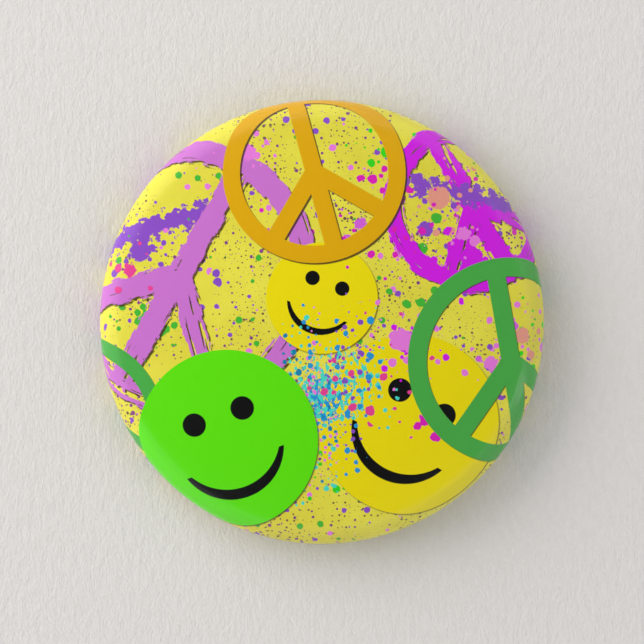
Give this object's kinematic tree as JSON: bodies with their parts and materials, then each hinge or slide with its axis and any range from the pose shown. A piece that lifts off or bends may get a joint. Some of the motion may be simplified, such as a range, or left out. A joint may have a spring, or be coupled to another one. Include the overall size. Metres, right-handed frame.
{
  "type": "button badge",
  "caption": "Round domed badge: clear film and printed sheet over a steel shell, clamped by a pressed back with a riveted bar pin, swinging needle and turning safety catch.",
  "frame": {"origin": "middle of the back rim's plane, under the centre of the dome", "axes": "+Z out of the face, +X along the bar pin towards its catch, +Y to the top of the printed design"},
  "size_m": [0.0572, 0.0572, 0.008],
  "materials": {
    "clear_film": "clear gloss polyester film",
    "printed_paper": "printed colour artwork on white paper",
    "shell_tinplate": "plain tinplate",
    "back_tinplate": "bright pressed tinplate",
    "nickel_plate": "bright nickel plate",
    "rivet_steel": "nickel-plated, hammered heads",
    "needle_steel": "polished drawn wire"
  },
  "bodies": {
    "badge": {"clear_film": "clear_film", "printed_sheet": "printed_paper", "front_shell": "shell_tinplate", "back_plate": "back_tinplate", "bar_rivets": "rivet_steel", "pin_bar": "nickel_plate", "hinge_pin": "rivet_steel"},
    "needle": {"needle": "needle_steel"},
    "catch_sleeve": {"catch_sleeve": "nickel_plate"}
  },
  "joints": [
    {"name": "needle_hinge", "type": "hinge", "parent": "badge", "child": "needle", "pos_m": [-0.01473, 0.004, 0.00228], "axis": [0, 1, 0], "range_deg": [0, 100]},
    {"name": "catch_turn", "type": "hinge", "parent": "badge", "child": "catch_sleeve", "pos_m": [0.01163, 0.004, 0.00228], "axis": [1, 0, 0], "range_deg": [0, 110]}
  ]
}
